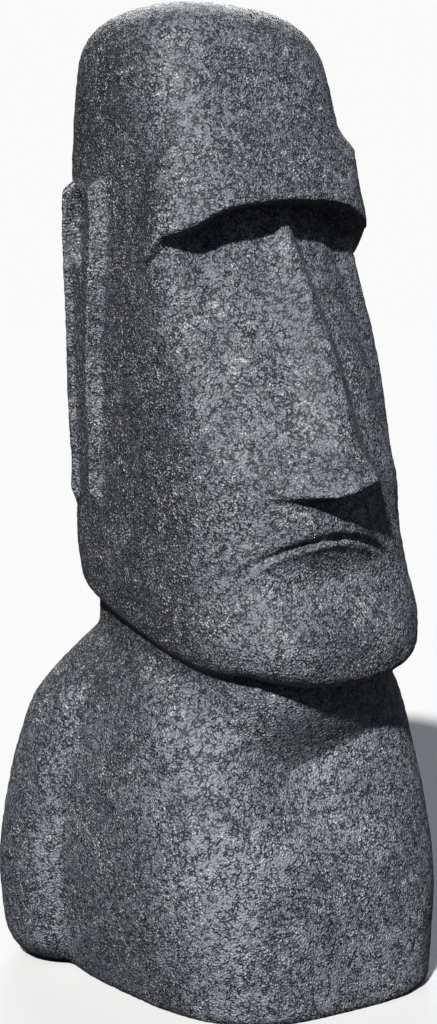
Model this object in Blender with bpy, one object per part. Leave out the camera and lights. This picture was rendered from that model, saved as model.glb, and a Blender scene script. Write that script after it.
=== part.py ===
"""A moai statue: a tall stone head on its neck, chest and arms, cast as one solid.

It stands upright on a flat underside at z = 0 and faces -Y, with +Z up, and the
origin is the middle of its footprint. Four masses, each a stack of rounded-square
sections, are fused into one skin: the head with its carved face and ears, the neck,
the chest and the arms. Proportions and carving are shares of the statue's height.
"""

import bpy
import bmesh
import numpy as np

# Driving sizes, in metres
HEIGHT = 1.0
BASE_EDGE = 0.020           # rounding of the lower edge, all round the foot
CELL = 0.004                # grid that the masses are fused on
TRIANGLES = 9800            # faces of the skin before the stock is cut away

# Sections, as shares of the height: level, front, back, half width
HEAD = (
    (0.322, -0.229, 0.150, 0.132),
    (0.365, -0.226, 0.156, 0.136),
    (0.410, -0.209, 0.158, 0.136),
    (0.460, -0.196, 0.156, 0.135),
    (0.530, -0.190, 0.151, 0.134),
    (0.640, -0.165, 0.148, 0.133),
    (0.740, -0.129, 0.153, 0.130),
    (0.800, -0.111, 0.158, 0.128),
    (0.880, -0.092, 0.158, 0.123),
    (0.940, -0.074, 0.152, 0.117),
    (1.000, -0.055, 0.146, 0.111),
)
NECK = (
    (0.180, -0.152, 0.140, 0.130),
    (0.244, -0.170, 0.140, 0.125),
    (0.300, -0.197, 0.140, 0.123),
    (0.350, -0.198, 0.141, 0.122),
    (0.420, -0.180, 0.142, 0.118),
)
CHEST = (
    (0.000, -0.229, 0.150, 0.157),
    (0.100, -0.221, 0.160, 0.175),
    (0.180, -0.205, 0.160, 0.175),
    (0.240, -0.189, 0.150, 0.167),
    (0.290, -0.176, 0.132, 0.157),
    (0.330, -0.156, 0.110, 0.137),
    (0.362, -0.105, 0.086, 0.096),
)
ARMS = (
    (0.000, 0.030, 0.181, 0.190),
    (0.100, 0.006, 0.191, 0.197),
    (0.180, -0.006, 0.184, 0.191),
    (0.240, -0.014, 0.171, 0.181),
    (0.290, -0.016, 0.151, 0.162),
    (0.330, -0.010, 0.126, 0.131),
    (0.370, -0.020, 0.100, 0.095),
)
# How square each section is, in front and behind: 2 is an ellipse
HEAD_SQUARENESS = (3.2, 2.6)
NECK_SQUARENESS = (3.5, 2.2)
CHEST_SQUARENESS = (3.2, 3.0)
ARMS_SQUARENESS = (2.8, 2.8)

CROWN_LEVEL = 0.922         # where the head starts to round over
CROWN_SQUARENESS = 2.70
JAW_RISE = 0.064            # how much higher the jaw's edge is behind than in front
JAW_TILT = 0.018            # and how much higher it is at the sides of the chin
JAW_EDGE = 0.014
COLLAR_DROP = 0.066         # how far the throat's hollow dips below the shoulders
SINK = 0.030                # stock below the underside, cut away flat at the end

CARVING_FAVOUR = 0.0001     # how much smaller the faces of the carving stay
COLUMNS = 240
HEAD_ROWS = 260
BODY_ROWS = 120
JAW_RINGS = 14


def ease(start, end, value):
    """0 before start, 1 after end, and a smooth climb between."""
    t = np.clip((value - start) / (end - start), 0, 1)
    return t * t * (3 - 2 * t)


def mound(value, centre, reach):
    """1 at the centre, falling smoothly to 0 at the reach on both sides."""
    t = np.clip(np.abs(value - centre) / reach, 0, 1)
    return (1 - t * t) ** 2


def profile(stations, level):
    """Smooth curves through the stations' columns, read at each level."""
    table = np.array(stations)
    levels, values = table[:, 0], table[:, 1:]
    step = np.diff(levels)
    slope = np.diff(values, axis=0) / step[:, None]
    tangent = np.vstack([slope[:1], (slope[:-1] + slope[1:]) / 2, slope[-1:]])
    level = np.clip(level, levels[0], levels[-1])
    i = np.clip(np.searchsorted(levels, level, side="right") - 1, 0, len(step) - 1)
    t = ((level - levels[i]) / step[i])[..., None]
    run = step[i][..., None]
    near = (1 + 2 * t) * (1 - t) ** 2 * values[i] + t * (1 - t) ** 2 * run * tangent[i]
    far = t * t * (3 - 2 * t) * values[i + 1] + t * t * (t - 1) * run * tangent[i + 1]
    return np.moveaxis(near + far, -1, 0)


def section(front, back, half, turn, squareness):
    """Rounded-square rings; turn is 0 at the front and grows towards +X."""
    c = np.cos(turn)
    s = np.sin(turn)
    power = np.where(c > 0, squareness[0], squareness[1])
    reach = (np.abs(c) ** power + np.abs(s) ** power) ** (-1 / power)
    return half * s * reach, (front + back) / 2 - (back - front) / 2 * c * reach


def outward(x, y):
    """The level direction that points out of each ring."""
    along_x = np.roll(x, -1, axis=1) - np.roll(x, 1, axis=1)
    along_y = np.roll(y, -1, axis=1) - np.roll(y, 1, axis=1)
    length = np.hypot(along_x, along_y) + 1e-12
    return along_y / length, -along_x / length


def brow_edge(x, y):
    """The level of the brow's lower edge: a low arch that drops at the temples."""
    side = np.abs(x)
    corner = 0.022 * ease(0.070, 0.125, side) + 0.007 * ease(-0.110, -0.075, y)
    return 0.790 - 0.0145 * (side / 0.100) ** 2 - corner


def brow(x, y, z):
    """The overhanging brow ridge, above eye planes sunk on each side of the nose."""
    side = np.abs(x)
    temple = ease(0.070, 0.110, side)
    edge = brow_edge(x, y)
    lower = ease(edge - 0.009, edge + 0.002, z)
    upper = 1 - ease(edge + 0.010 + 0.078 * temple, edge + 0.110, z)
    fade = 1 - ease(-0.095, -0.020, y)
    depth = profile(((0.525, 0.003), (0.570, 0.010), (0.640, 0.017), (0.760, 0.029)), z)[0]
    sunk = depth * ease(0.505, 0.550, z) * (1 - lower) * (1 - ease(0.095, 0.124, side))
    return (0.013 * lower * upper - sunk) * fade


def nose(x, y, z):
    """A long wedge under the brow: foot, ridge and how proud it stands, by level."""
    side = np.abs(x)
    foot, ridge, proud = profile((
        (0.505, 0.082, 0.021, 0.050),
        (0.530, 0.078, 0.017, 0.044),
        (0.570, 0.068, 0.012, 0.035),
        (0.630, 0.058, 0.009, 0.027),
        (0.690, 0.050, 0.007, 0.021),
        (0.800, 0.040, 0.005, 0.011),
    ), z)
    t = np.clip((foot - side) / (foot - ridge), 0, 1)
    wing = 0.14 * ease(0.0, 0.08, t) * (1 - ease(0.535, 0.600, z))
    wedge = wing + (1 - wing) * (0.10 * t + 0.90 * t * t)
    underside = 0.515 - 0.009 * ease(0.0, 0.035, side)
    edge = brow_edge(x, y)
    span = ease(underside - 0.003, underside + 0.003, z) * (1 - ease(edge - 0.009, edge + 0.002, z))
    return proud * wedge * span


def mouth(x, z):
    """An arched line between narrow lips, on a low muzzle above the chin."""
    side = np.abs(x)
    line = 0.469 - 0.024 * (side / 0.085) ** 2
    lips = 0.0035 * mound(z, line + 0.010, 0.016) + 0.0045 * mound(z, line - 0.012, 0.010)
    cut = 0.0075 * mound(z, line - 0.002, 0.0070)
    muzzle = 0.015 * mound(z, 0.487, 0.070) * (1 - ease(0.030, 0.105, side))
    dip = 0.003 * mound(z, 0.432, 0.032) * (1 - ease(0.030, 0.100, side))
    chin = 0.008 * mound(z, 0.372, 0.050) * (1 - ease(0.040, 0.110, side))
    return (lips - cut) * (1 - ease(0.084, 0.104, side)) + muzzle - dip + chin


def ear(y, z):
    """A long upright ear with a raised rim, a channel and an oval hollow at its top."""
    half = profile(((0.490, 0.033), (0.700, 0.036), (0.760, 0.039), (0.810, 0.034)), z)[0]
    off = y - 0.056
    strip = 1 - ease(half - 0.005, half + 0.004, np.abs(off))
    span = ease(0.476, 0.508, z) * (1 - ease(0.802, 0.818, z))
    channel = 0.008 * (1 - ease(half - 0.017, half - 0.009, np.abs(off - 0.002)))
    hollow = 0.008 * mound(np.hypot((off - 0.002) / 0.028, (z - 0.770) / 0.042), 0, 1)
    return (0.016 * strip - channel - hollow) * span


def head_mass():
    """The head from the underside of the jaw to the crown, carved as it is made."""
    jaw = HEAD[0][0]
    turn = np.linspace(0, 2 * np.pi, COLUMNS, endpoint=False)[None, :]
    climb = 1 - (1 - np.linspace(0, 1, HEAD_ROWS)) ** 1.3
    level = jaw + (1 - jaw) * climb[:, None]
    front, back, half = profile(HEAD, level)
    over = np.clip((level - CROWN_LEVEL) / (1 - CROWN_LEVEL), 0, 1)
    shrink = np.maximum((1 - over ** CROWN_SQUARENESS) ** (1 / CROWN_SQUARENESS), 0.001)
    below = np.clip(1 - (level - jaw) / JAW_EDGE, 0, 1)
    shrink = shrink * (1 - (1 - np.sqrt(1 - below ** 2)) * JAW_EDGE / half)
    middle = (front + back) / 2
    front = middle + (front - middle) * shrink
    back = middle + (back - middle) * shrink
    x, y = section(front, back, half * shrink, turn, HEAD_SQUARENESS)
    depth = np.clip((y - front) / (back - front), 0, 1)
    lift = JAW_RISE * ease(0.1, 1.0, depth) + JAW_TILT * np.minimum(np.abs(x) / 0.10, 1) ** 2
    z = level + lift * (1 - ease(0.0, 0.35, climb[:, None]))
    out_x, out_y = outward(x, y)
    facing = ease(-0.05, 0.35, np.cos(turn)) * (shrink > 0.2)
    ridge = brow(x, y, z) * (shrink > 0.2)
    beside = np.sign(x) * ear(y, z) * (np.abs(np.sin(turn)) > 0.3)
    carved = np.stack([x + out_x * ridge + beside,
                       y + out_y * ridge - (nose(x, y, z) + mouth(x, z)) * facing,
                       z], axis=-1)
    rim = carved[0]
    centre = rim.mean(axis=0)
    share = np.linspace(0.05, 1, JAW_RINGS, endpoint=False)[:, None, None]
    under = centre + (rim - centre) * share
    under[..., 2] = np.interp(under[..., 1], np.sort(rim[:, 1]), np.sort(rim[:, 2]))
    return np.concatenate([under, carved])


def body_mass(stations, squareness, start, collar=0.0):
    """A stack of sections from start to its last station, its lower edge rounded."""
    turn = np.linspace(0, 2 * np.pi, COLUMNS, endpoint=False)[None, :]
    level = np.linspace(start, stations[-1][0], BODY_ROWS)[:, None]
    front, back, half = profile(stations, level)
    edge = BASE_EDGE / HEIGHT
    below = np.clip(1 - level / edge, 0, 1)
    inset = 0.8 * edge * (1 - np.sqrt(1 - below ** 2))
    x, y = section(front + inset, back - inset, half - inset, turn, squareness)
    throat = ease(0.0, 0.8, np.cos(turn)) * (1 - ease(0.0, 0.11, np.abs(x)))
    z = level - collar * ease(0.12, 0.33, level) * throat
    return np.stack([x, y, z], axis=-1)


def add_rings(bm, rings):
    """Closes a stack of rings, given bottom to top, into one capped skin."""
    loops = [[bm.verts.new(point * HEIGHT) for point in ring] for ring in rings]
    for low, high in zip(loops, loops[1:]):
        for k in range(COLUMNS):
            n = (k + 1) % COLUMNS
            bm.faces.new((low[k], low[n], high[n], high[k]))
    bm.faces.new(list(reversed(loops[0])))
    bm.faces.new(loops[-1])


def after_modifier(mesh, kind, favoured=(), **values):
    """The mesh after one modifier, which may favour some of its points."""
    holder = bpy.data.objects.new("stock", mesh)
    bpy.context.collection.objects.link(holder)
    modifier = holder.modifiers.new(kind.title(), kind)
    for name, value in values.items():
        setattr(modifier, name, value)
    if favoured:
        freely = holder.vertex_groups.new(name="freely")
        freely.add(range(len(mesh.vertices)), 1.0, "REPLACE")
        freely.add(favoured, 0.5, "REPLACE")
        modifier.vertex_group = "freely"
    bpy.context.view_layer.update()
    graph = bpy.context.evaluated_depsgraph_get()
    result = bpy.data.meshes.new_from_object(holder.evaluated_get(graph))
    bpy.data.objects.remove(holder)
    return result


def carved_points(mesh):
    """The points of the brow, eyes, nose and mouth, where faces stay small."""
    reach = 0.10 * HEIGHT
    low, high = 0.42 * HEIGHT, 0.82 * HEIGHT
    return [v.index for v in mesh.vertices
            if v.co.y < 0 and abs(v.co.x) < reach and low < v.co.z < high]


def fused_skin():
    """The masses fused on a fine grid; the shoulders flow together, the throat less."""
    bm = bmesh.new()
    start = -SINK
    for rings in (head_mass(),
                  body_mass(NECK, NECK_SQUARENESS, NECK[0][0]),
                  body_mass(CHEST, CHEST_SQUARENESS, start, COLLAR_DROP),
                  body_mass(ARMS, ARMS_SQUARENESS, start)):
        add_rings(bm, rings)
    masses = bpy.data.meshes.new("masses")
    bm.to_mesh(masses)
    bm.free()
    skin = after_modifier(masses, "REMESH", mode="VOXEL", voxel_size=CELL)
    bm = bmesh.new()
    bm.from_mesh(skin)
    for _ in range(2):
        bmesh.ops.smooth_vert(bm, verts=bm.verts, factor=0.5,
                              use_axis_x=True, use_axis_y=True, use_axis_z=True)
    for step, limit in enumerate(np.linspace(0.34, 0.20, 14) * HEIGHT):
        front = -0.05 * HEIGHT if step % 4 else -HEIGHT
        shoulders = [v for v in bm.verts if v.co.z < limit and v.co.y > front]
        bmesh.ops.smooth_vert(bm, verts=shoulders, factor=0.5,
                              use_axis_x=True, use_axis_y=True, use_axis_z=True)
    bm.to_mesh(skin)
    bm.free()
    return skin


def cut_flat(mesh):
    """Cuts the stock away at z = 0, closes the underside and centres the footprint."""
    bm = bmesh.new()
    bm.from_mesh(mesh)
    everything = bm.verts[:] + bm.edges[:] + bm.faces[:]
    cut = bmesh.ops.bisect_plane(bm, geom=everything, dist=1e-5, plane_co=(0, 0, 0),
                                 plane_no=(0, 0, 1), clear_inner=True)
    rim = [e for e in cut["geom_cut"] if isinstance(e, bmesh.types.BMEdge)]
    bmesh.ops.contextual_create(bm, geom=rim)
    bmesh.ops.dissolve_degenerate(bm, dist=1e-5, edges=bm.edges)
    bmesh.ops.triangulate(bm, faces=bm.faces)
    bmesh.ops.recalc_face_normals(bm, faces=bm.faces)
    across = [v.co.x for v in bm.verts]
    along = [v.co.y for v in bm.verts]
    middle = (-(min(across) + max(across)) / 2, -(min(along) + max(along)) / 2, 0)
    bmesh.ops.translate(bm, verts=bm.verts, vec=middle)
    bm.to_mesh(mesh)
    bm.free()


def dark_stone():
    material = bpy.data.materials.new("dark_stone")
    material.use_nodes = True
    shader = material.node_tree.nodes["Principled BSDF"]
    shader.inputs["Base Color"].default_value = (0.105, 0.112, 0.122, 1)
    shader.inputs["Roughness"].default_value = 0.5
    shader.inputs["Metallic"].default_value = 0.0
    return material


def make_statue():
    skin = fused_skin()
    faces = 2 * len(skin.polygons)
    solid = after_modifier(skin, "DECIMATE", carved_points(skin), ratio=TRIANGLES / faces,
                           vertex_group_factor=CARVING_FAVOUR)
    cut_flat(solid)
    solid.name = "moai_statue"
    solid.shade_smooth()
    solid.materials.append(dark_stone())
    statue = bpy.data.objects.new("moai_statue", solid)
    bpy.context.collection.objects.link(statue)
    return statue


for leftover in list(bpy.data.objects):
    bpy.data.objects.remove(leftover, do_unlink=True)
make_statue()
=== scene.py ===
"""The looks of a moai statue: its carving at full fineness, the pebbled skin of the
casting and its sealed dark stone, on a pale floor in soft studio light.

Metres, +Z up. The statue faces -Y and its own left is +X.
"""

import math
from functools import partial

import bmesh
import bpy
import numpy as np
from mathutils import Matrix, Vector


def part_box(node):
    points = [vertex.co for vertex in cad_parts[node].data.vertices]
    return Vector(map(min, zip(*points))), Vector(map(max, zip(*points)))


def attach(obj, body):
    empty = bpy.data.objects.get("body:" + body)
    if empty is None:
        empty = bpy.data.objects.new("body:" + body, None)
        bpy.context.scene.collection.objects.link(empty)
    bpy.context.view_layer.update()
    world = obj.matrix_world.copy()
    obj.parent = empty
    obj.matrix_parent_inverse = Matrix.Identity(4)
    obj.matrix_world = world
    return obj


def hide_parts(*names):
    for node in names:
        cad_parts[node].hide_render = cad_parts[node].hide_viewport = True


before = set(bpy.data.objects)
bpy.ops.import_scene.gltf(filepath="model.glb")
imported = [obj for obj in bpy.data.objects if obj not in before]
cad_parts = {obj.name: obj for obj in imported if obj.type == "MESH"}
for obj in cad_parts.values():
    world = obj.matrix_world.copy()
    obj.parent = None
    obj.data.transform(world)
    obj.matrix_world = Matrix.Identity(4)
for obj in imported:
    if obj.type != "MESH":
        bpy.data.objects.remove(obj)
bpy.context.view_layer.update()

NODE = "moai_statue"
LIT_MASK = "painted_light"           # the mesh's mask of painted light, lighter where the stone faces ahead and up
LOW, HIGH = [Vector(corner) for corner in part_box(NODE)]
HEIGHT = HIGH.z - LOW.z

# Fineness: the fused skin's grid, its triangles before the foot is cut flat, and the
# rings and columns of each mass
CELL = 0.0026
TRIANGLES = 194000
COLUMNS = 480
HEAD_ROWS = 520
BODY_ROWS = 260
JAW_RINGS = 24
ROW_GATHER = 1.3            # above 1, the head's rows lie closer towards the crown
SAME = 1e-5                 # points closer than this are one
SINK = 0.030                # stock below the underside, cut away flat at the end
BASE_EDGE = 0.009           # rounding of the lower edge under the chest
ARM_EDGE = 0.036            # and under the arms

# Sections, as shares of the height: level, front, back, half width
HEAD = (
    (0.322, -0.229, 0.150, 0.132),
    (0.365, -0.226, 0.156, 0.136),
    (0.410, -0.209, 0.158, 0.136),
    (0.460, -0.196, 0.156, 0.135),
    (0.530, -0.190, 0.151, 0.134),
    (0.640, -0.165, 0.148, 0.133),
    (0.740, -0.129, 0.153, 0.130),
    (0.800, -0.111, 0.158, 0.128),
    (0.880, -0.092, 0.158, 0.123),
    (0.940, -0.074, 0.152, 0.117),
    (1.000, -0.055, 0.146, 0.111),
)
NECK = (
    (0.180, -0.152, 0.140, 0.130),
    (0.244, -0.170, 0.140, 0.125),
    (0.300, -0.197, 0.140, 0.123),
    (0.350, -0.198, 0.141, 0.122),
    (0.420, -0.180, 0.142, 0.118),
)
CHEST = (
    (0.000, -0.229, 0.150, 0.157),
    (0.100, -0.221, 0.160, 0.175),
    (0.180, -0.205, 0.160, 0.175),
    (0.240, -0.189, 0.150, 0.167),
    (0.290, -0.176, 0.132, 0.157),
    (0.330, -0.156, 0.110, 0.137),
    (0.362, -0.105, 0.086, 0.096),
)
ARMS = (
    (0.000, 0.030, 0.181, 0.185),
    (0.100, 0.006, 0.191, 0.197),
    (0.180, -0.006, 0.184, 0.191),
    (0.240, -0.014, 0.171, 0.181),
    (0.290, -0.016, 0.151, 0.167),
    (0.330, -0.010, 0.126, 0.134),
    (0.370, -0.020, 0.100, 0.095),
)
# How square each section is, in front and behind: 2 is an ellipse
HEAD_SQUARENESS = (3.2, 2.6)
NECK_SQUARENESS = (3.1, 2.2)
CHEST_SQUARENESS = (3.2, 3.0)
ARMS_SQUARENESS = (2.8, 2.8)

CROWN_LEVEL = 0.922         # where the head starts to round over
CROWN_SQUARENESS = 2.70
JAW_RISE = 0.064            # how much higher the jaw's edge is behind than in front
JAW_TILT = 0.018            # and how much higher it is at the sides of the chin
JAW_EDGE = 0.014
HEAD_LEAN = 0.045           # the casting's head leans a little to its own right
COLLAR_DROP = 0.078         # how far the throat's hollow dips below the shoulders
THROAT = -0.030             # the hollow's deepest place lies a little to the right
THROAT_WIDTH = 0.125
MOUTH = -0.014              # the middle of the mouth lies to the right too
MOUTH_LEVEL = 0.470
MOUTH_ARCH = 0.032          # how far the mouth's line drops towards its ends
BROW_LEVEL = 0.7985         # the brow's lower edge at its middle
BROW_TILT = 0.043           # how it climbs towards the left
BROW_ARCH = 0.0080          # how far it drops towards its ends
BROW_DEPTH = 0.013
NOSE_FOOT = 0.515           # the underside of the nose
NOSE_BEND = 0.007           # how far to the left its ridge lies, but for the foot
FAR_FLANK = 0.96            # slope of the nose's left side, steeper than its right
EAR = 0.060                 # how far back the middle of the ear lies

# Smoothing of the body, from the shoulders down; most of it leaves the front as it is
SMOOTHING = 14              # passes on a grid of SMOOTHING_CELL
SMOOTHING_CELL = 0.004
SMOOTH_BELOW = (0.34, 0.20)     # the top of the first pass and of the last
SMOOTH_BEHIND = -0.05
WHOLE_PASS = 4              # one pass in so many goes all round

# The casting's skin: small pebbles on longer waves, in metres
PEBBLES = {
    "Pebble size": 0.008,
    "Pebble depth": 0.0011,
    "Wave size": 0.040,
    "Wave depth": 0.0014,
    "Seed": 3.0,
}
# The stone's grain: sizes and spacing in metres, the rest as shares
GRAIN = {
    "Grain size": 0.0023,
    "Fine size": 0.0016,
    "Fine share": 0.90,
    "Cluster size": 0.010,
    "Cluster share": 0.48,
    "Groove spacing": 0.0075,
    "Groove width": 0.055,
    "Groove depth": 0.90,
}
# Painted light: how much lighter the stone is painted where it faces sideways, ahead and up
LIT_FACING = (0.50, 0.85, 0.30)
LIT_HEAD = 0.68         # strength of the painted light on the head's front
BODY_MORE = 0.32            # how much stronger it is on the body's front
BODY_SIDES = 0.46           # and its strength on the body's sides

# The photograph's view
CAMERA_AZIMUTH = -36.0
CAMERA_ELEVATION = 5.95
CAMERA_DISTANCE = 2.22
CAMERA_LENS = 74.7
CAMERA_AIM = (-0.001, 0.0275, 0.4746)


def ease(start, end, value):
    """0 before start, 1 after end, and a smooth climb between."""
    t = np.clip((value - start) / (end - start), 0, 1)
    return t * t * (3 - 2 * t)


def mound(value, centre, reach):
    """1 at the centre, falling smoothly to 0 at the reach on both sides."""
    t = np.clip(np.abs(value - centre) / reach, 0, 1)
    return (1 - t * t) ** 2


def profile(stations, level):
    """Smooth curves through the stations' columns, read at each level."""
    table = np.array(stations)
    levels, values = table[:, 0], table[:, 1:]
    step = np.diff(levels)
    slope = np.diff(values, axis=0) / step[:, None]
    tangent = np.vstack([slope[:1], (slope[:-1] + slope[1:]) / 2, slope[-1:]])
    level = np.clip(level, levels[0], levels[-1])
    i = np.clip(np.searchsorted(levels, level, side="right") - 1, 0, len(step) - 1)
    t = ((level - levels[i]) / step[i])[..., None]
    run = step[i][..., None]
    near = (1 + 2 * t) * (1 - t) ** 2 * values[i] + t * (1 - t) ** 2 * run * tangent[i]
    far = t * t * (3 - 2 * t) * values[i + 1] + t * t * (t - 1) * run * tangent[i + 1]
    return np.moveaxis(near + far, -1, 0)


def section(front, back, half, turn, squareness):
    """Rounded-square rings; turn is 0 at the front and grows towards +X."""
    c = np.cos(turn)
    s = np.sin(turn)
    power = np.where(c > 0, squareness[0], squareness[1])
    reach = (np.abs(c) ** power + np.abs(s) ** power) ** (-1 / power)
    return half * s * reach, (front + back) / 2 - (back - front) / 2 * c * reach


def outward(x, y):
    """The level direction that points out of each ring."""
    along_x = np.roll(x, -1, axis=1) - np.roll(x, 1, axis=1)
    along_y = np.roll(y, -1, axis=1) - np.roll(y, 1, axis=1)
    length = np.hypot(along_x, along_y) + 1e-12
    return along_y / length, -along_x / length


def brow_edge(x, y):
    """The level of the brow's lower edge: a low arch that drops at the temples."""
    side = np.abs(x)
    temple = 0.016 * ease(-0.140, -0.080, y) + 0.030 * ease(-0.080, -0.045, y)
    corner = 0.010 * ease(0.065, 0.110, side)
    return BROW_LEVEL + BROW_TILT * x - BROW_ARCH * (side / 0.100) ** 2 - corner - temple


def brow(x, y, z):
    """The overhanging brow ridge, above eye planes sunk on each side of the nose."""
    side = np.abs(x)
    temple = ease(0.070, 0.110, side)
    edge = brow_edge(x, y)
    lower = ease(edge - 0.008, edge + 0.002, z)
    upper = 1 - ease(edge + 0.010 + 0.078 * temple, edge + 0.110, z)
    fade = 1 - ease(-0.072, -0.036, y)
    depth = profile(((0.525, 0.003), (0.570, 0.010), (0.640, 0.017), (0.760, 0.029)), z)[0]
    sunk = depth * ease(0.505, 0.550, z) * (1 - lower) * (1 - ease(0.098, 0.126, side))
    return (BROW_DEPTH * lower * upper - sunk) * fade


def nose(x, y, z):
    """A long wedge under the brow: foot, ridge and how proud it stands, by level."""
    side = np.abs(x - NOSE_BEND * ease(0.52, 0.66, z))
    foot, ridge, proud = profile((
        (0.505, 0.084, 0.018, 0.042),
        (0.530, 0.079, 0.014, 0.040),
        (0.570, 0.069, 0.009, 0.036),
        (0.630, 0.060, 0.006, 0.030),
        (0.690, 0.052, 0.004, 0.024),
        (0.800, 0.040, 0.004, 0.011),
    ), z)
    t = np.clip((foot - side) / (foot - ridge), 0, 1)
    wing = 0.20 * ease(0.0, 0.07, t) * (1 - ease(0.530, 0.590, z))
    steep = np.clip(1 - FAR_FLANK * (side - ridge) / proud, 0, 1)
    near = wing + (1 - wing) * (0.10 * t + 0.90 * t * t)
    wedge = np.where(x > 0, steep, near)
    underside = NOSE_FOOT - 0.009 * ease(0.0, 0.035, -x) + 0.005 * ease(-0.010, 0.020, x)
    edge = brow_edge(x, y)
    span = ease(underside - 0.003, underside + 0.003, z)
    span = span * (1 - ease(edge - 0.009, edge + 0.002, z))
    return proud * wedge * span


def mouth(x, z):
    """A thin arched line between narrow lips, on a low muzzle above the chin."""
    side = np.abs(x - MOUTH)
    line = MOUTH_LEVEL - MOUTH_ARCH * (side / 0.090) ** 2
    upper = 0.0035 * ease(line - 0.001, line + 0.002, z)
    upper = upper * (1 - ease(line + 0.004, line + 0.030, z))
    lower = 0.0035 * mound(z, line - 0.0085, 0.0065)
    cut = 0.0080 * mound(z, line - 0.002, 0.0045)
    muzzle = 0.020 * mound(z, 0.487, 0.070) * (1 - ease(0.020, 0.095, side))
    dip = 0.003 * mound(z, 0.432, 0.032) * (1 - ease(0.030, 0.100, side))
    chin = 0.008 * mound(z, 0.372, 0.050) * (1 - ease(0.040, 0.110, side))
    return (upper + lower - cut) * (1 - ease(0.088, 0.106, side)) + muzzle - dip + chin


def ear(y, z):
    """A long upright ear with a raised rim, a channel and an oval hollow at its top."""
    half = profile(((0.490, 0.033), (0.700, 0.036), (0.760, 0.039), (0.810, 0.034)), z)[0]
    off = y - EAR
    strip = 1 - ease(half - 0.002, half + 0.002, np.abs(off))
    span = ease(0.476, 0.504, z) * (1 - ease(0.806, 0.822, z))
    proud = 0.011 + 0.005 * ease(0.50, 0.62, z)
    channel = 0.010 * (1 - ease(half - 0.012, half - 0.006, np.abs(off)))
    dish = np.hypot((off - 0.010) / 0.019, (z - 0.768) / 0.042)
    hollow = 0.011 * (1 - ease(0.75, 1.0, dish))
    return (proud * strip - channel - hollow) * span


def head_mass():
    """The head from the underside of the jaw to the crown, carved as it is made."""
    jaw = HEAD[0][0]
    turn = np.linspace(0, 2 * np.pi, COLUMNS, endpoint=False)[None, :]
    climb = 1 - (1 - np.linspace(0, 1, HEAD_ROWS)) ** ROW_GATHER
    level = jaw + (1 - jaw) * climb[:, None]
    front, back, half = profile(HEAD, level)
    over = np.clip((level - CROWN_LEVEL) / (1 - CROWN_LEVEL), 0, 1)
    shrink = np.maximum((1 - over ** CROWN_SQUARENESS) ** (1 / CROWN_SQUARENESS), 0.001)
    below = np.clip(1 - (level - jaw) / JAW_EDGE, 0, 1)
    shrink = shrink * (1 - (1 - np.sqrt(1 - below ** 2)) * JAW_EDGE / half)
    middle = (front + back) / 2
    front = middle + (front - middle) * shrink
    back = middle + (back - middle) * shrink
    x, y = section(front, back, half * shrink, turn, HEAD_SQUARENESS)
    depth = np.clip((y - front) / (back - front), 0, 1)
    lift = JAW_RISE * ease(0.1, 1.0, depth) + JAW_TILT * np.minimum(np.abs(x) / 0.10, 1) ** 2
    lean = HEAD_LEAN * x * (1 - ease(0.80, 0.95, level))
    z = level + lift * (1 - ease(0.0, 0.35, climb[:, None])) + lean
    out_x, out_y = outward(x, y)
    facing = ease(-0.05, 0.35, np.cos(turn)) * (shrink > 0.2)
    ridge = brow(x, y, z) * (shrink > 0.2)
    beside = np.sign(x) * ear(y, z) * (np.abs(np.sin(turn)) > 0.3)
    carved = np.stack([x + out_x * ridge + beside,
                       y + out_y * ridge - (nose(x, y, z) + mouth(x, z)) * facing,
                       z], axis=-1)
    rim = carved[0]
    centre = rim.mean(axis=0)
    share = np.linspace(0.05, 1, JAW_RINGS, endpoint=False)[:, None, None]
    under = centre + (rim - centre) * share
    under[..., 2] = np.interp(under[..., 1], np.sort(rim[:, 1]), np.sort(rim[:, 2]))
    return np.concatenate([under, carved])


def body_mass(stations, squareness, start, edge=BASE_EDGE, collar=0.0):
    """A stack of sections from start to its last station, its lower edge rounded."""
    turn = np.linspace(0, 2 * np.pi, COLUMNS, endpoint=False)[None, :]
    level = np.linspace(start, stations[-1][0], BODY_ROWS)[:, None]
    front, back, half = profile(stations, level)
    below = np.clip(1 - level * HEIGHT / edge, 0, 1)
    inset = 0.8 * edge / HEIGHT * (1 - np.sqrt(1 - below ** 2))
    x, y = section(front + inset, back - inset, half - inset, turn, squareness)
    throat = ease(0.0, 0.8, np.cos(turn)) * (1 - ease(0.0, THROAT_WIDTH, np.abs(x - THROAT)))
    z = level - collar * ease(0.12, 0.33, level) * throat
    return np.stack([x, y, z], axis=-1)


def capped_mesh(stacks):
    """One mesh of several stacks of rings, each closed at both ends."""
    points = []
    faces = []
    for rings in stacks:
        first = sum(len(part) for part in points)
        rows = len(rings)
        grid = first + np.arange(rows * COLUMNS).reshape(rows, COLUMNS)
        beside = np.roll(grid, -1, axis=1)
        quads = np.stack([grid[:-1], beside[:-1], beside[1:], grid[1:]], axis=-1)
        faces += quads.reshape(-1, 4).tolist()
        faces.append(grid[0][::-1].tolist())
        faces.append(grid[-1].tolist())
        points.append(rings.reshape(-1, 3) * HEIGHT)
    mesh = bpy.data.meshes.new("masses")
    mesh.from_pydata(np.concatenate(points).tolist(), [], faces)
    return mesh


def placed(name, data):
    """A new object of the scene, made of the data."""
    thing = bpy.data.objects.new(name, data)
    bpy.context.collection.objects.link(thing)
    return thing


def after_modifier(mesh, kind, **values):
    """The mesh after one modifier."""
    holder = placed("stock", mesh)
    modifier = holder.modifiers.new(kind.title(), kind)
    for name, value in values.items():
        setattr(modifier, name, value)
    return baked(holder)


def baked(holder):
    """A plain mesh of what an object's modifiers make of it; the object goes."""
    bpy.context.view_layer.update()
    graph = bpy.context.evaluated_depsgraph_get()
    result = bpy.data.meshes.new_from_object(holder.evaluated_get(graph))
    bpy.data.objects.remove(holder)
    return result


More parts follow.
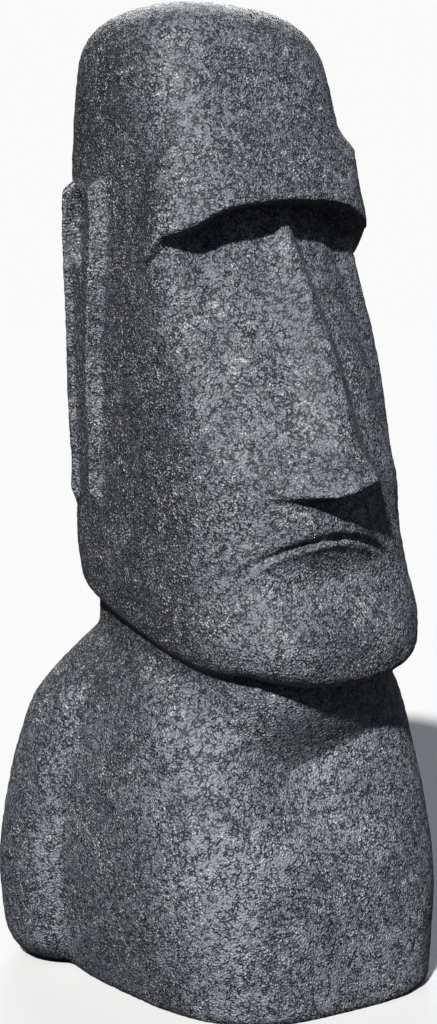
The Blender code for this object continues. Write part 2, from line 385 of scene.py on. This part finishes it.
def smooth(bm, points, times):
    """Moves each point halfway to the middle of its neighbours."""
    for _ in range(times):
        bmesh.ops.smooth_vert(bm, verts=points, factor=0.5,
                              use_axis_x=True, use_axis_y=True, use_axis_z=True)


def fused_skin():
    """The masses fused on a fine grid, eased all over and more so down the body."""
    masses = capped_mesh((
        head_mass(),
        body_mass(NECK, NECK_SQUARENESS, NECK[0][0]),
        body_mass(CHEST, CHEST_SQUARENESS, -SINK, collar=COLLAR_DROP),
        body_mass(ARMS, ARMS_SQUARENESS, -SINK, edge=ARM_EDGE),
    ))
    skin = after_modifier(masses, "REMESH", mode="VOXEL", voxel_size=CELL)
    bm = bmesh.new()
    bm.from_mesh(skin)
    smooth(bm, bm.verts, 2)
    passes = round(SMOOTHING * (SMOOTHING_CELL / CELL) ** 2)
    for step, limit in enumerate(np.linspace(*SMOOTH_BELOW, passes) * HEIGHT):
        front = SMOOTH_BEHIND * HEIGHT if step % WHOLE_PASS else -HEIGHT
        smooth(bm, [v for v in bm.verts if v.co.z < limit and v.co.y > front], 1)
    bm.to_mesh(skin)
    bm.free()
    return skin


def feed(tree, socket, value):
    """Gives a socket a number, or links another node's output to it."""
    if isinstance(value, (int, float)):
        socket.default_value = value
    else:
        tree.links.new(value, socket)


def math_node(tree, operation, *values):
    """The output of one maths node, on numbers or on other nodes' outputs."""
    node = tree.nodes.new("ShaderNodeMath")
    node.operation = operation
    for socket, value in zip(node.inputs, values):
        feed(tree, socket, value)
    return node.outputs[0]


def pebbled_tree(material):
    """Geometry nodes that press a pebbled, gently uneven skin into a smooth form."""
    tree = bpy.data.node_groups.new("pebbled_skin", "GeometryNodeTree")
    face = tree.interface
    face.new_socket("Form", in_out="INPUT", socket_type="NodeSocketGeometry")
    for name in PEBBLES:
        face.new_socket(name, in_out="INPUT", socket_type="NodeSocketFloat")
    face.new_socket("Skin", in_out="OUTPUT", socket_type="NodeSocketGeometry")
    nodes, links = tree.nodes, tree.links
    entry = nodes.new("NodeGroupInput")
    place = nodes.new("GeometryNodeInputPosition")
    normal = nodes.new("GeometryNodeInputNormal")
    maths = partial(math_node, tree)
    noise_top = 0.72            # nearly all of the noise lies below this

    def relief(size, depth, detail):
        """Dents of a size, nearly all between 0 and minus the depth."""
        noise = nodes.new("ShaderNodeTexNoise")
        noise.noise_dimensions = "4D"
        noise.inputs["Detail"].default_value = detail
        noise.inputs["Roughness"].default_value = 0.55
        links.new(place.outputs[0], noise.inputs["Vector"])
        links.new(entry.outputs["Seed"], noise.inputs["W"])
        links.new(maths("DIVIDE", 1.0, size), noise.inputs["Scale"])
        height = maths("SUBTRACT", noise.outputs[0], noise_top)
        return maths("MULTIPLY", height, maths("MULTIPLY", depth, 2.0))

    dents = maths("ADD",
                  relief(entry.outputs["Pebble size"], entry.outputs["Pebble depth"], 1.0),
                  relief(entry.outputs["Wave size"], entry.outputs["Wave depth"], 2.0))
    push = nodes.new("ShaderNodeVectorMath")
    push.operation = "SCALE"
    links.new(normal.outputs[0], push.inputs[0])
    links.new(dents, push.inputs["Scale"])
    move = nodes.new("GeometryNodeSetPosition")
    links.new(entry.outputs["Form"], move.inputs["Geometry"])
    links.new(push.outputs[0], move.inputs["Offset"])
    real = nodes.new("GeometryNodeRealizeInstances")
    dress = nodes.new("GeometryNodeSetMaterial")
    dress.inputs["Material"].default_value = material
    leave = nodes.new("NodeGroupOutput")
    links.new(move.outputs[0], real.inputs[0])
    links.new(real.outputs[0], dress.inputs["Geometry"])
    links.new(dress.outputs[0], leave.inputs[0])
    return tree


def pebbled(skin, material):
    """The skin with its pebbles, as a plain mesh."""
    holder = placed("stock", skin)
    modifier = holder.modifiers.new("Pebbles", "NODES")
    tree = pebbled_tree(material)
    modifier.node_group = tree
    for item in tree.interface.items_tree:
        if item.in_out == "INPUT" and item.name in PEBBLES:
            modifier[item.identifier] = PEBBLES[item.name]
    return baked(holder)


def cut_flat(mesh):
    """Cuts the stock away at z = 0, closes the underside and sets it in the CAD's box."""
    bm = bmesh.new()
    bm.from_mesh(mesh)
    everything = bm.verts[:] + bm.edges[:] + bm.faces[:]
    cut = bmesh.ops.bisect_plane(bm, geom=everything, dist=SAME, plane_co=(0, 0, 0),
                                 plane_no=(0, 0, 1), clear_inner=True)
    rim = [e for e in cut["geom_cut"] if isinstance(e, bmesh.types.BMEdge)]
    bmesh.ops.contextual_create(bm, geom=rim)
    bmesh.ops.dissolve_degenerate(bm, dist=SAME, edges=bm.edges)
    bmesh.ops.triangulate(bm, faces=bm.faces)
    bmesh.ops.recalc_face_normals(bm, faces=bm.faces)
    bm.to_mesh(mesh)
    bm.free()
    points = np.empty(len(mesh.vertices) * 3)
    mesh.vertices.foreach_get("co", points)
    points = points.reshape(-1, 3)
    low, high = points.min(axis=0), points.max(axis=0)
    share = np.minimum((np.array(HIGH) - np.array(LOW)) / (high - low), 1.0)
    middle = (low + high) / 2
    middle[2] = 0
    target = (np.array(LOW) + np.array(HIGH)) / 2
    target[2] = LOW.z
    points = (points - middle) * share + target
    mesh.vertices.foreach_set("co", points.ravel())


def grain_group():
    """Shader nodes for sprayed grains between broken grooves, and masks of both: the grain tops,
    and the gaps and grooves that are darkened as painted shade.
    """
    tree = bpy.data.node_groups.new("sprayed_grain", "ShaderNodeTree")
    face = tree.interface
    face.new_socket("Vector", in_out="INPUT", socket_type="NodeSocketVector")
    for name in GRAIN:
        face.new_socket(name, in_out="INPUT", socket_type="NodeSocketFloat")
    for name in ("Height", "Tops", "Gap shade", "Groove shade"):
        face.new_socket(name, in_out="OUTPUT", socket_type="NodeSocketFloat")
    nodes, links = tree.nodes, tree.links
    entry = nodes.new("NodeGroupInput")
    leave = nodes.new("NodeGroupOutput")
    maths = partial(math_node, tree)

    def noise(size, detail):
        node = nodes.new("ShaderNodeTexNoise")
        node.inputs["Detail"].default_value = detail
        node.inputs["Roughness"].default_value = 0.6
        links.new(entry.outputs["Vector"], node.inputs["Vector"])
        links.new(maths("DIVIDE", 1.0, size), node.inputs["Scale"])
        return node.outputs[0]

    def climb(value, low, high):
        node = nodes.new("ShaderNodeMapRange")
        node.interpolation_type = "SMOOTHSTEP"
        for name, level in (("From Min", low), ("From Max", high), ("Value", value)):
            feed(tree, node.inputs[name], level)
        return node.outputs[0]

    cells = nodes.new("ShaderNodeTexVoronoi")
    links.new(entry.outputs["Vector"], cells.inputs["Vector"])
    links.new(maths("DIVIDE", 1.0, entry.outputs["Grain size"]), cells.inputs["Scale"])
    tones = nodes.new("ShaderNodeSeparateColor")
    links.new(cells.outputs["Color"], tones.inputs[0])
    dome = maths("SUBTRACT", 1.0, cells.outputs["Distance"])
    own = maths("MULTIPLY_ADD", tones.outputs[0], 0.7, 0.3)
    fine = maths("SUBTRACT", noise(entry.outputs["Fine size"], 1.0), 0.5)
    cluster = maths("SUBTRACT", noise(entry.outputs["Cluster size"], 2.0), 0.5)
    grain = maths("MULTIPLY_ADD", fine, entry.outputs["Fine share"], maths("MULTIPLY", dome, own))
    gathered = maths("MULTIPLY_ADD", cluster, entry.outputs["Cluster share"], grain)
    winding = noise(entry.outputs["Groove spacing"], 1.5)
    off_line = maths("ABSOLUTE", maths("SUBTRACT", winding, 0.5))
    line = maths("SUBTRACT", 1.0, climb(off_line, 0.0, entry.outputs["Groove width"]))
    broken = climb(cluster, 0.0, 0.12)
    grooves = maths("MULTIPLY", line, maths("SUBTRACT", 1.0, broken))
    sunk = maths("MULTIPLY", grooves, entry.outputs["Groove depth"])
    links.new(maths("SUBTRACT", gathered, sunk), leave.inputs["Height"])
    links.new(climb(gathered, 0.40, 0.72), leave.inputs["Tops"])
    # Masks for painted shade in the stone's colour: the low gaps between the grains, and the
    # grooves.
    links.new(maths("SUBTRACT", 1.0, climb(gathered, 0.02, 0.36)), leave.inputs["Gap shade"])
    links.new(grooves, leave.inputs["Groove shade"])
    return tree


def sealed_stone(grain):
    """Dark grey cast stone, dry-brushed paler on its grain, under a satin seal; painted light
    makes it lighter where it faces ahead and up and darker at the sides, and painted shade
    darkens its gaps and grooves.
    """
    material = bpy.data.materials.new("sealed_dark_stone")
    material.use_nodes = True
    nodes, links = material.node_tree.nodes, material.node_tree.links
    shader = nodes["Principled BSDF"]
    shader.inputs["IOR"].default_value = 1.5
    shader.inputs["Specular IOR Level"].default_value = 0.85
    shader.inputs["Coat Weight"].default_value = 0.20
    shader.inputs["Coat Roughness"].default_value = 0.55
    place = nodes.new("ShaderNodeTexCoord")
    group = nodes.new("ShaderNodeGroup")
    group.node_tree = grain
    for name, value in GRAIN.items():
        group.inputs[name].default_value = value
    links.new(place.outputs["Object"], group.inputs["Vector"])
    painted_light = nodes.new("ShaderNodeAttribute")
    painted_light.attribute_name = LIT_MASK

    def patches(size, detail, low, high):
        node = nodes.new("ShaderNodeTexNoise")
        node.inputs["Scale"].default_value = 1 / size
        node.inputs["Detail"].default_value = detail
        node.inputs["Roughness"].default_value = 0.55
        links.new(place.outputs["Object"], node.inputs["Vector"])
        ramp = nodes.new("ShaderNodeMapRange")
        ramp.interpolation_type = "SMOOTHSTEP"
        ramp.inputs["From Min"].default_value = low
        ramp.inputs["From Max"].default_value = high
        links.new(node.outputs[0], ramp.inputs["Value"])
        return ramp.outputs[0]

    def blend(share, first, second):
        node = nodes.new("ShaderNodeMix")
        node.data_type = "RGBA"
        colours = [s for s in node.inputs if s.type == "RGBA"]
        for socket, value in zip(colours, (first, second)):
            if isinstance(value, tuple):
                socket.default_value = (*value, 1)
            else:
                links.new(value, socket)
        links.new(share, node.inputs["Factor"])
        return [s for s in node.outputs if s.type == "RGBA"][0]

    # Painted light: each slate tone runs from a shaded copy at the sides to a lit copy where the
    # stone faces ahead and up, and it is lighter on the body.
    lit_share = painted_light.outputs["Fac"]
    dark = blend(lit_share, (0.022, 0.027, 0.036), (0.122, 0.143, 0.182))
    pale = blend(lit_share, (0.038, 0.044, 0.054), (0.206, 0.228, 0.268))
    slate = blend(patches(0.050, 3.0, 0.38, 0.62), dark, pale)
    flecks = blend(patches(0.012, 2.0, 0.40, 0.60), (0.22, 0.23, 0.24), (0.54, 0.54, 0.53))
    brush = blend(patches(0.045, 2.0, 0.42, 0.58), flecks, (0.21, 0.235, 0.275))
    # Painted shade: the gaps between the grains are darkened nearly to black.
    gap_shaded = blend(group.outputs["Gap shade"], slate, (0.008, 0.010, 0.014))
    brushed = blend(group.outputs["Tops"], gap_shaded, brush)
    # Painted shade: the grooves are darkened nearly to black, on top of being sunk in the bump.
    groove_shaded = blend(group.outputs["Groove shade"], brushed, (0.007, 0.008, 0.012))
    links.new(groove_shaded, shader.inputs["Base Color"])
    gloss = nodes.new("ShaderNodeMapRange")
    gloss.inputs["To Min"].default_value = 0.40
    gloss.inputs["To Max"].default_value = 0.54
    links.new(patches(0.035, 2.0, 0.35, 0.65), gloss.inputs["Value"])
    links.new(gloss.outputs[0], shader.inputs["Roughness"])
    bump = nodes.new("ShaderNodeBump")
    bump.inputs["Strength"].default_value = 1.0
    bump.inputs["Distance"].default_value = 0.0019
    links.new(group.outputs["Height"], bump.inputs["Height"])
    links.new(bump.outputs[0], shader.inputs["Normal"])
    return material


def lit_share(mesh):
    """Marks the painted light at each point: lighter on the front and what faces up, darker at
    the sides, and lighter on the body.
    """
    count = len(mesh.vertices)
    normals = np.empty(count * 3)
    mesh.vertex_normals.foreach_get("vector", normals)
    normals = normals.reshape(-1, 3)
    ends = np.empty(len(mesh.edges) * 2, dtype=int)
    mesh.edges.foreach_get("vertices", ends)
    first, second = ends.reshape(-1, 2).T
    neighbours = np.bincount(first, minlength=count) + np.bincount(second, minlength=count)
    for _ in range(5):
        spread = [np.bincount(first, normals[second, k], count)
                  + np.bincount(second, normals[first, k], count) for k in range(3)]
        normals = (normals + np.stack(spread, axis=-1)) / (1 + neighbours)[:, None]
    normals /= np.linalg.norm(normals, axis=1)[:, None]
    sideways, ahead, up = LIT_FACING
    facing = sideways * np.abs(normals[:, 0]) - ahead * normals[:, 1] + up * normals[:, 2]
    places = np.empty(count * 3)
    mesh.vertices.foreach_get("co", places)
    body = 1 - ease(0.26 * HEIGHT, 0.34 * HEIGHT, places[2::3])
    marks = mesh.attributes.new(LIT_MASK, "FLOAT", "POINT")
    lit = ease(0.50, 0.95, facing)
    front = (LIT_HEAD + BODY_MORE * body) * lit
    marks.data.foreach_set("value", front + BODY_SIDES * body * (1 - lit))


def make_statue():
    stone = sealed_stone(grain_group())
    skin = pebbled(fused_skin(), stone)
    triangles = 2 * len(skin.polygons)
    mesh = after_modifier(skin, "DECIMATE", ratio=TRIANGLES / triangles)
    cut_flat(mesh)
    lit_share(mesh)
    mesh.name = "moai_casting"
    mesh.shade_smooth()
    statue = placed("moai_casting", mesh)
    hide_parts(NODE)
    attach(statue, "root")


def camera_sees(tree, seen, otherwise):
    """A shader that shows the camera one thing and every other ray another."""
    path = tree.nodes.new("ShaderNodeLightPath")
    mix = tree.nodes.new("ShaderNodeMixShader")
    tree.links.new(path.outputs["Is Camera Ray"], mix.inputs[0])
    tree.links.new(otherwise.outputs[0], mix.inputs[1])
    tree.links.new(seen.outputs[0], mix.inputs[2])
    return mix.outputs[0]


def pale_floor():
    """Pale to the camera, and dark to the light that would bounce up from it."""
    material = bpy.data.materials.new("pale_floor")
    material.use_nodes = True
    tree = material.node_tree
    nodes = tree.nodes
    shader = nodes["Principled BSDF"]
    shader.inputs["Base Color"].default_value = (0.649, 0.656, 0.667, 1)
    shader.inputs["Specular IOR Level"].default_value = 0.0
    shader.inputs["Roughness"].default_value = 0.8
    dull = nodes.new("ShaderNodeBsdfDiffuse")
    dull.inputs["Color"].default_value = (0.03, 0.03, 0.035, 1)
    mixed = camera_sees(tree, shader, dull)
    tree.links.new(mixed, nodes["Material Output"].inputs["Surface"])
    return material


def make_floor():
    reach = 30.0
    mesh = bpy.data.meshes.new("floor")
    corners = [(-reach, -reach, 0), (reach, -reach, 0), (reach, reach, 0), (-reach, reach, 0)]
    mesh.from_pydata(corners, [], [(0, 1, 2, 3)])
    mesh.materials.append(pale_floor())
    floor = placed("floor", mesh)


def add_light(name, towards, angle, strength, colour):
    """A distant light from a direction; its angle softens the shadows' edges."""
    lamp = bpy.data.lights.new(name, "SUN")
    lamp.angle = math.radians(angle)
    lamp.energy = strength
    lamp.color = colour
    holder = placed(name, lamp)
    towards = Vector(towards).normalized()
    holder.location = Vector((0, 0, HEIGHT / 2)) + towards * 3
    holder.rotation_euler = towards.to_track_quat("Z", "Y").to_euler()


def light_studio():
    """A key from above, a little left of the photograph's view, and weaker fills."""
    add_light("key", (-0.603, -0.482, 0.636), 3.0, 6.0, (1.0, 0.98, 0.95))
    add_light("front_fill", (0.55, -0.70, 0.30), 60.0, 0.20, (0.85, 0.92, 1.0))
    add_light("back_fill", (0.55, 0.80, 0.45), 30.0, 1.5, (0.95, 0.97, 1.0))
    world = bpy.data.worlds.new("studio")
    bpy.context.scene.world = world
    world.use_nodes = True
    tree = world.node_tree
    nodes = tree.nodes
    seen = nodes["Background"]
    seen.inputs["Color"].default_value = (0.95, 0.95, 0.95, 1)
    seen.inputs["Strength"].default_value = 1.0
    dim = nodes.new("ShaderNodeBackground")
    dim.inputs["Color"].default_value = (0.75, 0.87, 1.0, 1)
    dim.inputs["Strength"].default_value = 0.06
    mixed = camera_sees(tree, seen, dim)
    tree.links.new(mixed, nodes["World Output"].inputs["Surface"])


def place_camera():
    azimuth = math.radians(CAMERA_AZIMUTH)
    elevation = math.radians(CAMERA_ELEVATION)
    level = math.cos(elevation)
    towards = Vector((math.sin(azimuth) * level, -math.cos(azimuth) * level, math.sin(elevation)))
    data = bpy.data.cameras.new("camera")
    data.lens = CAMERA_LENS
    camera = placed("camera", data)
    camera.location = Vector(CAMERA_AIM) + towards * CAMERA_DISTANCE
    camera.rotation_euler = towards.to_track_quat("Z", "Y").to_euler()
    bpy.context.scene.camera = camera


place_camera()
light_studio()
make_floor()
make_statue()
bpy.context.scene.view_settings.view_transform = "Standard"
